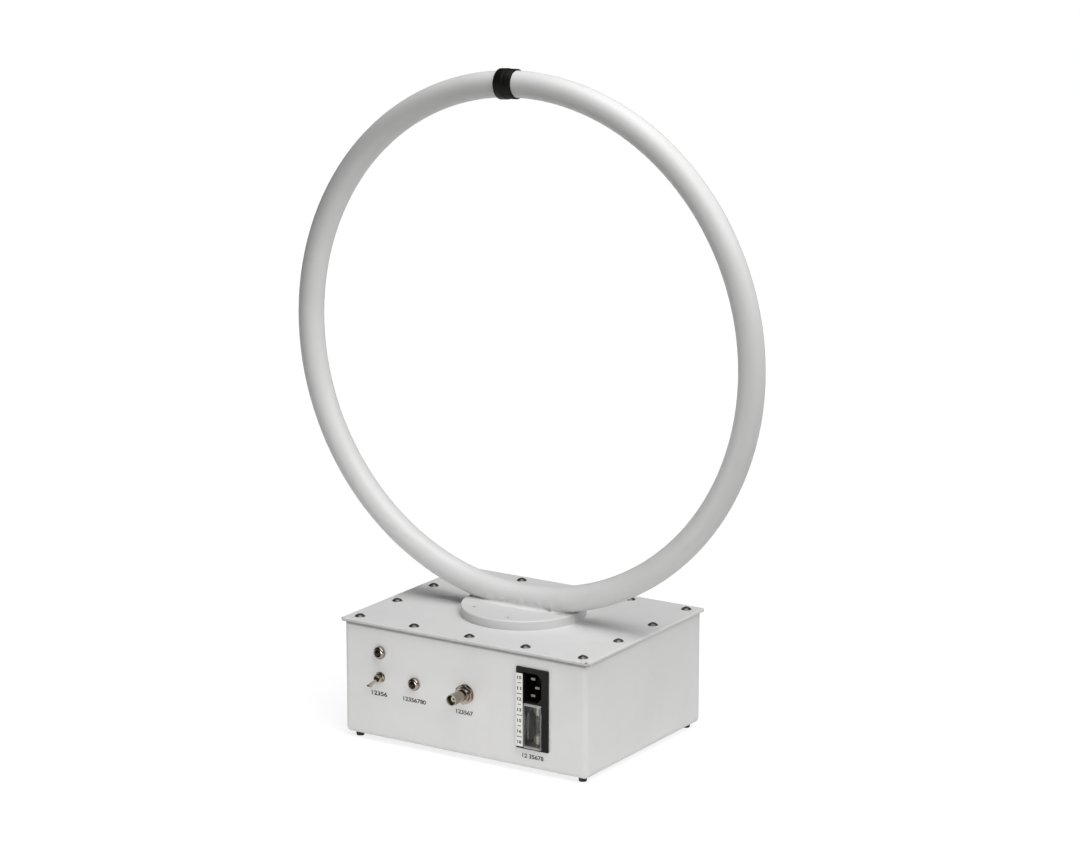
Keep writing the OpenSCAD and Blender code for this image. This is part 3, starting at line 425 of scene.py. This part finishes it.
def finishPiece(name, bm, slot, body="base", smooth=35, finish=None):
    bmesh.ops.remove_doubles(bm, verts=bm.verts, dist=mergeGap)
    bmesh.ops.recalc_face_normals(bm, faces=bm.faces)
    mesh = bpy.data.meshes.new(name)
    bm.to_mesh(mesh)
    bm.free()
    mesh.shade_smooth()
    mesh.set_sharp_from_angle(angle=math.radians(smooth))
    mesh.materials.append(finish or finishes[slot])
    piece = bpy.data.objects.new(name, mesh)
    scene.collection.objects.link(piece)
    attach(piece, body)
    return piece


def grownCorners(bm):
    # doubles every face, and gives the corners of the new ones
    grown = bmesh.ops.extrude_face_region(bm, geom=bm.faces[:])["geom"]
    return [g for g in grown if isinstance(g, bmesh.types.BMVert)]


# camera at the photograph's angle, set from the middle of the lid's top face
cameraSet = {"yaw": 32.58, "pitch": 13.45, "right": 13.65 * mm, "up": 155.72 * mm, "back": 2996.64 * mm,
             "lens": 120, "sensor": 36, "farthest": 100}
lidTop = Vector(((lidBox[0].x + lidBox[1].x) / 2, (lidBox[0].y + lidBox[1].y) / 2, lidBox[1].z))
yaw, pitch = math.radians(cameraSet["yaw"]), math.radians(cameraSet["pitch"])
backWay = Vector((math.sin(yaw) * math.cos(pitch), -math.cos(yaw) * math.cos(pitch), math.sin(pitch)))
rightWay = Vector((math.cos(yaw), math.sin(yaw), 0))
upWay = backWay.cross(rightWay)
lens = bpy.data.cameras.new("viewLens")
lens.lens, lens.sensor_width, lens.sensor_fit = cameraSet["lens"], cameraSet["sensor"], "HORIZONTAL"
lens.clip_end = cameraSet["farthest"]
camera = bpy.data.objects.new("viewCamera", lens)
turn = Matrix((rightWay, upWay, backWay)).transposed().to_4x4()
stand = lidTop + rightWay * cameraSet["right"] + upWay * cameraSet["up"] + backWay * cameraSet["back"]
camera.matrix_world = Matrix.Translation(stand) @ turn
scene.collection.objects.link(camera)
scene.camera = camera
print("camera set")

# pale floor: white to the eye, with the object's shadow kept, and grey for the light it sends back
floorLook = {"size": 30.0, "bounce": rgb(0.78, 0.77, 0.755), "beyond": rgb(0.16, 0.155, 0.15),
             "sheetEnds": (0.25, 0.7), "shade": rgb(0.3, 0.3, 0.305), "glow": 0.8, "farGlow": 0.18,
             "glowEnds": (0.4, 2.2)}
floorMesh = bpy.data.meshes.new("studioFloor")
bm = bmesh.new()
bmesh.ops.create_grid(bm, x_segments=1, y_segments=1, size=floorLook["size"])
bm.to_mesh(floorMesh)
bm.free()
floor = bpy.data.objects.new("studioFloor", floorMesh)
scene.collection.objects.link(floor)

floorMaterial, _, floorMaker, floorPlace = startMaterial("paleFloor")
path = floorMaker.node("ShaderNodeLightPath").socket.node
eye, gloss, through = (Wire(floorMaker.tree, path.outputs[k]) for k in
                       ("Is Camera Ray", "Is Glossy Ray", "Is Transmission Ray"))
seen = floorMaker.maths("MAXIMUM", floorMaker.maths("MAXIMUM", eye, gloss), through)
outward = floorMaker.near(floorPlace, (0, 0, 0))
away = floorMaker.step(outward, *floorLook["glowEnds"])
offSheet = floorMaker.step(outward, *floorLook["sheetEnds"])
sheet = floorMaker.blend(offSheet, floorLook["bounce"], floorLook["beyond"])
dull = floorMaker.node("ShaderNodeBsdfDiffuse", None, {"Color": sheet})
shade = floorMaker.node("ShaderNodeBsdfDiffuse", None, {"Color": floorLook["shade"]})
glow = floorMaker.node("ShaderNodeEmission", None,
                       {"Color": rgb(1, 1, 1), "Strength": floorLook["glow"] + away * floorLook["farGlow"]})
pale = floorMaker.node("ShaderNodeAddShader", None, {0: shade, 1: glow})
floorMix = floorMaker.node("ShaderNodeMixShader", None, {0: seen, 1: dull, 2: pale})
floorMaker.tree.links.new(floorMix.socket, floorMaker.tree.nodes["Material Output"].inputs["Surface"])
floorMesh.materials.append(floorMaterial)

# studio walls: dim, a little paler on the right and in front
wallLook = {"bright": (0.72, -0.66, 0.22), "brightEnds": (-0.5, 0.85), "dim": 0.018, "gain": 0.04}
world = bpy.data.worlds.new("studioWorld")
world.use_nodes = True
scene.world = world
sky = Wire(world.node_tree)
way = sky.node("ShaderNodeTexCoord")
facing = sky.node("ShaderNodeVectorMath", {"operation": "DOT_PRODUCT"},
                  {0: way, 1: Vector(wallLook["bright"]).normalized()}, "Value")
skyShader = world.node_tree.nodes["Background"]
skyShader.inputs["Color"].default_value = rgb(1, 1, 1)
level = wallLook["dim"] + sky.step(facing, *wallLook["brightEnds"]) * wallLook["gain"]
world.node_tree.links.new(level.socket, skyShader.inputs["Strength"])

# a long soft box overhead to the right, one at the side, and a low card close to the front
lampSets = {
    "overheadBox": {"place": (0.85, -0.45, 2.5), "aim": (0, 0, 0.25), "size": (1.8, 4.2), "power": 90},
    "sideBox": {"place": (2.7, 0.9, 1.7), "aim": (0, 0, 0.25), "size": (1.4, 1.4), "power": 17},
    "frontCard": {"place": (-0.02, -0.5, 0.06), "aim": (0, -0.08, 0.05), "size": (0.3, 0.12), "power": 0.6},
}
for name, values in lampSets.items():
    data = bpy.data.lights.new(name, "AREA")
    data.shape, data.energy = "RECTANGLE", values["power"]
    data.size, data.size_y = values["size"]
    lamp = bpy.data.objects.new(name, data)
    lamp.location = values["place"]
    aim = Vector(values["aim"]) - lamp.location
    lamp.rotation_euler = aim.to_track_quat("-Z", "Y").to_euler()
    scene.collection.objects.link(lamp)
print("stage lit")

# where things stand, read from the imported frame
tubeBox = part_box("loop_tube")
tubeR = (tubeBox[1].y - tubeBox[0].y) / 2
loopY = (tubeBox[1].y + tubeBox[0].y) / 2
loopZ = (tubeBox[1].z + tubeBox[0].z) / 2
loopR = (tubeBox[1].z - tubeBox[0].z) / 2 - tubeR
panelY = shellBox[0].y

# hand-smeared bead of filler where the tube sits in its base, with waves as a height and a pace
beadLook = {"reach": 51.4 * mm, "steps": 420, "rows": 18, "split": 0.6, "fill": 0.35, "fade": 14,
            "foot": 6.3 * mm, "footWave": (0.3, 110), "footEnd": 0.35,
            "climb": 0.3, "climbWave": (0.06, 420), "smear": 0.03, "lift": 0.34 * mm, "smearThin": 0.35,
            "lumpWave": (0.12 * mm, 300), "skin": Vector((0, 0.6 * mm, -0.9 * mm)),
            "flat": 6, "apart": 3.7, "seed": 7.3}
# thin smears above it and dips in it: millimetres along the tube, half width, turn round the tube
beadSmears = ((-48.5, 3.6, 0.26), (-26, 4.6, 0.4), (-14, 3.2, 0.28), (-4, 4.5, 0.12), (5, 2.2, 0.42),
              (14, 4.4, 0.16), (22.5, 2.0, 0.44), (34.5, 2.0, 0.62), (41, 3.6, 0.24), (48, 3.0, 0.2))
beadDips = ((-38, 6.5, 0.2), (29.5, 3.6, 0.16))


def tubePoint(x, turn, out):
    # a point on the tube's skin, turned from its underside
    depth = loopR + (tubeR + out) * math.cos(turn)
    return (tubeR + out) * math.sin(turn), loopZ - math.sqrt(depth * depth - x * x)


def wander(x, side, wave):
    height, pace = wave
    return height * noise.noise(Vector((x * pace, side * beadLook["apart"], beadLook["seed"])))


def humps(marks, x):
    # flat-topped humps at listed places
    return sum(rise * math.exp(-((x / mm - at) / half) ** beadLook["flat"]) for at, half, rise in marks)


def makeBead(name, side):
    look = beadLook
    bm = bmesh.new()
    bmesh.ops.create_grid(bm, x_segments=look["steps"], y_segments=look["rows"], size=1)
    for v in bm.verts:
        x = v.co.x * look["reach"]
        fade = 1 - abs(v.co.x) ** look["fade"]
        # up the fillet from the base to the tube, then over the tube's skin as a thin smear
        up = (v.co.y + 1) / (2 * look["split"])
        over = max(0, up - 1) * look["split"] / (1 - look["split"])
        up = min(1, up)
        seat = math.acos(min(1, (math.hypot(loopZ - baseTop, x) - loopR) / tubeR))
        climb = seat + look["climb"] - humps(beadDips, -side * x) + wander(x, side, look["climbWave"])
        climb += over * fade * (humps(beadSmears, -side * x) + look["smear"])
        contact, high = tubePoint(x, climb, look["lift"] * (1 - look["smearThin"] * over))
        inside = tubeR * math.sin(seat)
        spread = look["foot"] * (1 + wander(x, side, look["footWave"]))
        foot = inside + spread * (look["footEnd"] + (1 - look["footEnd"]) * fade)
        middle = inside + ((foot + contact) / 2 - inside) * look["fill"]
        bulge = (high - baseTop) / 2 * look["fill"]
        wide = foot * (1 - up) ** 2 + 2 * middle * up * (1 - up) + contact * up ** 2
        tall = 2 * bulge * up * (1 - up) + (high - baseTop) * up ** 2
        tall += wander(x, side + up, look["lumpWave"]) * up * (1 - up) * 4
        v.co = Vector((x, loopY + side * wide, baseTop + tall))
    inward = Vector((0, -side * look["skin"].y, look["skin"].z))
    bmesh.ops.translate(bm, verts=grownCorners(bm), vec=inward)
    return finishPiece(name, bm, "bead", smooth=60)


beads = [makeBead("fillerBeadFront", -1), makeBead("fillerBeadBack", 1)]
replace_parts(beads[0], "seat_bead")
print("beads smeared")

# black tape over the break in the tube, wound twice on its left half, and a narrow ring of paint beside it
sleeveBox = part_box("gap_insulator")
sleeveMid = (sleeveBox[0] + sleeveBox[1]) / 2
sleeveAt = math.atan2(sleeveMid.z - loopZ, sleeveMid.x)
tapeLook = {"left": 7.5 * mm, "right": -8.7 * mm, "inner": 0.04 * mm, "thin": 1.3 * mm, "thick": 1.72 * mm,
            "lap": -0.8 * mm, "lapSlope": 1.25 * mm, "lapDrop": 0.1 * mm, "soft": 0.25 * mm,
            "leftSoft": 0.5 * mm}
ringLook = {"from": 7.55 * mm, "to": 8.6 * mm, "rise": 0.22 * mm, "edge": 0.02 * mm, "sink": 0.1 * mm}
latheSteps = 96


def lathe(profile):
    # a closed outline of (distance along, radius) turned about the X axis
    bm = bmesh.new()
    corners = [bm.verts.new((distance, 0, radius)) for distance, radius in profile]
    for first, second in zip(corners, corners[1:] + corners[:1]):
        bm.edges.new((first, second))
    bmesh.ops.spin(bm, geom=bm.verts[:] + bm.edges[:], axis=(1, 0, 0), cent=(0, 0, 0),
                   steps=latheSteps, angle=math.tau, use_merge=True)
    return bm


def alongTube(bm, angle):
    # bends a turned sleeve along the loop and sets it at an angle
    for v in bm.verts:
        v.co.z -= v.co.x ** 2 / (2 * loopR)
    radial = Vector((math.cos(angle), 0, math.sin(angle)))
    tangent = Vector((-math.sin(angle), 0, math.cos(angle)))
    turn = Matrix((tangent, Vector((0, 1, 0)), radial)).transposed().to_4x4()
    middle = Vector((0, loopY, loopZ)) + radial * loopR
    bmesh.ops.transform(bm, matrix=Matrix.Translation(middle) @ turn, verts=bm.verts)


left, right, lap, soft, leftSoft = (tapeLook[k] for k in ("left", "right", "lap", "soft", "leftSoft"))
inner, thin, thick = (tubeR + tapeLook[k] for k in ("inner", "thin", "thick"))
bm = lathe([(right, inner), (right, thin - soft), (right + soft, thin), (lap, thin),
            (lap + soft, thick - tapeLook["lapDrop"]), (lap + tapeLook["lapSlope"], thick),
            (left - leftSoft, thick), (left, thick - leftSoft), (left, inner)])
alongTube(bm, sleeveAt)
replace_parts(finishPiece("gapTape", bm, "black_insulator", smooth=50), "gap_insulator")
start, end, rise = ringLook["from"], ringLook["to"], tubeR + ringLook["rise"]
bm = lathe([(start, inner), (start, rise), (end - soft, rise), (end, tubeR + ringLook["edge"]),
            (end, inner - ringLook["sink"])])
alongTube(bm, sleeveAt)
# the ring takes the bead's lighter paint: painted light
finishPiece("gapPaintRing", bm, "bead", smooth=50)
print("tape wound")

# plain numbers where the panel is marked: middle from the box's middle, below the lid's top, width
markLook = {"rise": 0.04 * mm, "sink": 0.005 * mm, "tall": 3.8 * mm, "weight": 0.03}
panelMarks = {"12356": (-83.2 * mm, -60.3 * mm, 15.6 * mm), "12356780": (-48 * mm, -60.3 * mm, 22.6 * mm),
              "123567": (1.4 * mm, -62 * mm, 16.6 * mm), "12 35678": (67.6 * mm, -88.2 * mm, 20.3 * mm)}
printInk = plasticFinish("printInk", rgb(0.02, 0.019, 0.018), 0.55, grain=3000, worn=0.3)
upright = Matrix.Rotation(math.pi / 2, 4, "X")


def addBar(bm, x, z, wide, tall):
    size = Matrix.Diagonal((wide / 2, tall / 2, 1, 1))
    bmesh.ops.create_grid(bm, x_segments=1, y_segments=1, size=1,
                          matrix=Matrix.Translation((x, 0, z)) @ upright @ size)


def addNumber(bm, words, x, z, wide, tall):
    # numerals as a flat mesh of a given width and height, centred on a point of the front
    curve = bpy.data.curves.new("numeral", "FONT")
    curve.body, curve.offset = words, markLook["weight"]
    holder = bpy.data.objects.new("numeral", curve)
    scene.collection.objects.link(holder)
    bpy.context.view_layer.update()
    flat = bpy.data.meshes.new_from_object(holder.evaluated_get(bpy.context.evaluated_depsgraph_get()))
    across = [v.co.x for v in flat.vertices]
    up = [v.co.y for v in flat.vertices]
    size = Vector((max(across) - min(across), max(up) - min(up)))
    middle = Vector((-(max(across) + min(across)) / 2, -(max(up) + min(up)) / 2, 0))
    shape = Matrix.Diagonal((wide / size.x, tall / size.y, 1, 1)) @ Matrix.Translation(middle)
    flat.transform(Matrix.Translation((x, 0, z)) @ upright @ shape)
    bm.from_mesh(flat)
    bpy.data.objects.remove(holder)
    bpy.data.curves.remove(curve)
    bpy.data.meshes.remove(flat)


def finishMarks(name, bm, y):
    # gives flat marks their print thickness, standing out of the front at y
    bmesh.ops.translate(bm, verts=grownCorners(bm), vec=(0, -markLook["rise"], 0))
    bmesh.ops.translate(bm, verts=bm.verts, vec=(0, y + markLook["sink"], 0))
    finishPiece(name, bm, "black_insulator", smooth=30, finish=printInk)


bm = bmesh.new()
for words, (x, drop, wide) in panelMarks.items():
    addNumber(bm, words, x, lidTop.z + drop, wide, markLook["tall"])
finishMarks("panelNumbers", bm, panelY)

# rows on the inlet's label: plain numbers with a rule under each, short and long by turns
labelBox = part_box("inlet_label")
labelRows = {"numbers": ("10", "11", "12", "13", "15", "16", "18"), "edge": 3.6 * mm, "tall": 2.7 * mm,
             "share": 0.62, "rule": 0.6 * mm, "ruleShares": (0.5, 0.8)}
labelX = (labelBox[0].x + labelBox[1].x) / 2
labelWide = labelBox[1].x - labelBox[0].x
rowGap = (labelBox[1].z - labelBox[0].z - 2 * labelRows["edge"]) / (len(labelRows["numbers"]) - 1)
bm = bmesh.new()
for row, words in enumerate(labelRows["numbers"]):
    z = labelBox[1].z - labelRows["edge"] - row * rowGap
    addNumber(bm, words, labelX, z, labelWide * labelRows["share"], labelRows["tall"])
    addBar(bm, labelX, z - rowGap / 2, labelWide * labelRows["ruleShares"][row % 2], labelRows["rule"])
finishMarks("labelNumbers", bm, labelBox[0].y)
print("numbers set")

# threads on the switch bushing and the output connector: start in front of the panel, turns and pitch
threadSets = {
    "switchThread": {"node": "switch_bushing", "radius": 3.17 * mm, "from": 2.35 * mm,
                     "turns": 5, "pitch": 0.7 * mm},
    "outputThread": {"node": "output_body", "radius": 6.2 * mm, "from": 3.8 * mm,
                     "turns": 3, "pitch": 0.8 * mm},
}
# the ridge's root and crest from the thread's radius, and half their widths as shares of the pitch
ridgeLook = {"root": -0.1 * mm, "crest": 0.16 * mm, "rootHalf": 0.46, "crestHalf": 0.12, "steps": 36}


def makeThread(name, values):
    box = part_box(values["node"])
    x, z = (box[0].x + box[1].x) / 2, (box[0].z + box[1].z) / 2
    start, pitch, steps = panelY - values["from"], values["pitch"], ridgeLook["steps"]
    root, crest = (values["radius"] + ridgeLook[k] for k in ("root", "crest"))
    rootHalf, crestHalf = (ridgeLook[k] * pitch for k in ("rootHalf", "crestHalf"))
    bm = bmesh.new()
    ridge = [(root, rootHalf), (crest, crestHalf), (crest, -crestHalf), (root, -rootHalf)]
    bm.faces.new([bm.verts.new((x + out, start + back, z)) for out, back in ridge])
    bmesh.ops.spin(bm, geom=bm.verts[:] + bm.edges[:] + bm.faces[:], axis=(0, -1, 0), cent=(x, 0, z),
                   dvec=(0, -pitch / steps, 0), steps=values["turns"] * steps,
                   angle=math.tau * values["turns"])
    finishPiece(name, bm, "nickel", smooth=40)


for name, values in threadSets.items():
    makeThread(name, values)
print("threads cut")
